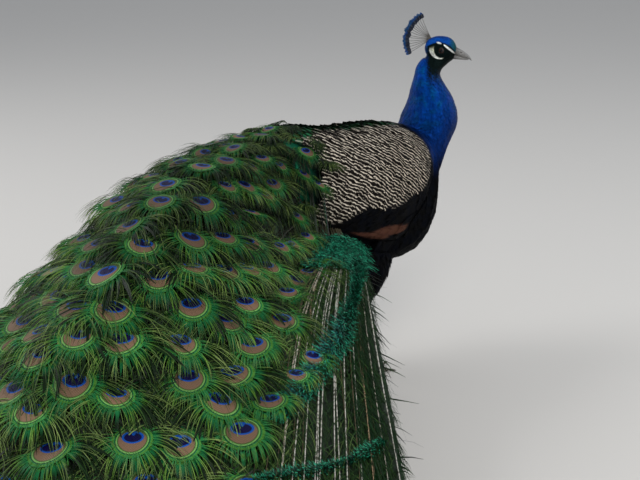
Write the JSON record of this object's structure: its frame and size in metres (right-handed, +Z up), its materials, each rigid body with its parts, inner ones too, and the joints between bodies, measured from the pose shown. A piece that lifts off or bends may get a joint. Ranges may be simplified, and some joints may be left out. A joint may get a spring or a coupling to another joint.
{
  "type": "standing peacock",
  "caption": "Life-size male peafowl standing still, head turned to its right, long eyed train fanned and draped to the ground behind it as a display figure.",
  "frame": {"origin": "middle of the bounding box, at floor level under the soles of the feet", "axes": "+X is the way the body faces, +Y is the bird's left side, +Z is up"},
  "size_m": [1.6906, 1.5306, 0.7069],
  "materials": {
    "plumage_blue": "satin, iridescent blue",
    "plumage_dark": "soft black",
    "plumage_barred": "matte, buff with black bars",
    "plumage_scaly_green": "satin, bronze green scales",
    "plumage_chestnut": "matte chestnut",
    "plumage_train": "satin, iridescent green with eye spots",
    "plumage_tail": "matte grey brown",
    "bill_horn": "smooth horn, low gloss",
    "eye": "polished dark brown",
    "claw_horn": "dark horn",
    "leg_skin": "scaly grey brown"
  },
  "bodies": {
    "root": {"bill_lower": "bill_horn", "bill_upper": "bill_horn", "claw_hind_left": "claw_horn", "claw_hind_right": "claw_horn", "claw_inner_left": "claw_horn", "claw_inner_right": "claw_horn", "claw_middle_left": "claw_horn", "claw_middle_right": "claw_horn", "claw_outer_left": "claw_horn", "claw_outer_right": "claw_horn", "crest": "plumage_blue", "eye_left": "eye", "eye_right": "eye", "flight_feathers_left": "plumage_chestnut", "flight_feathers_right": "plumage_chestnut", "foot_left": "leg_skin", "foot_right": "leg_skin", "head": "plumage_blue", "mantle": "plumage_scaly_green", "neck_lower": "plumage_blue", "neck_upper": "plumage_blue", "shank_left": "leg_skin", "shank_right": "leg_skin", "spur_left": "claw_horn", "spur_right": "claw_horn", "tail": "plumage_tail", "thigh_left": "plumage_dark", "thigh_right": "plumage_dark", "train_lower_1": "plumage_train", "train_lower_2": "plumage_train", "train_lower_3": "plumage_train", "train_lower_4": "plumage_train", "train_lower_5": "plumage_train", "train_lower_6": "plumage_train", "train_lower_7": "plumage_train", "train_middle_1": "plumage_train", "train_middle_2": "plumage_train", "train_middle_3": "plumage_train", "train_middle_4": "plumage_train", "train_middle_5": "plumage_train", "train_middle_6": "plumage_train", "train_middle_7": "plumage_train", "train_upper_1": "plumage_train", "train_upper_2": "plumage_train", "train_upper_3": "plumage_train", "train_upper_4": "plumage_train", "train_upper_5": "plumage_train", "train_upper_6": "plumage_train", "train_upper_7": "plumage_train", "trunk": "plumage_dark", "wing_left": "plumage_barred", "wing_right": "plumage_barred"}
  },
  "joints": []
}
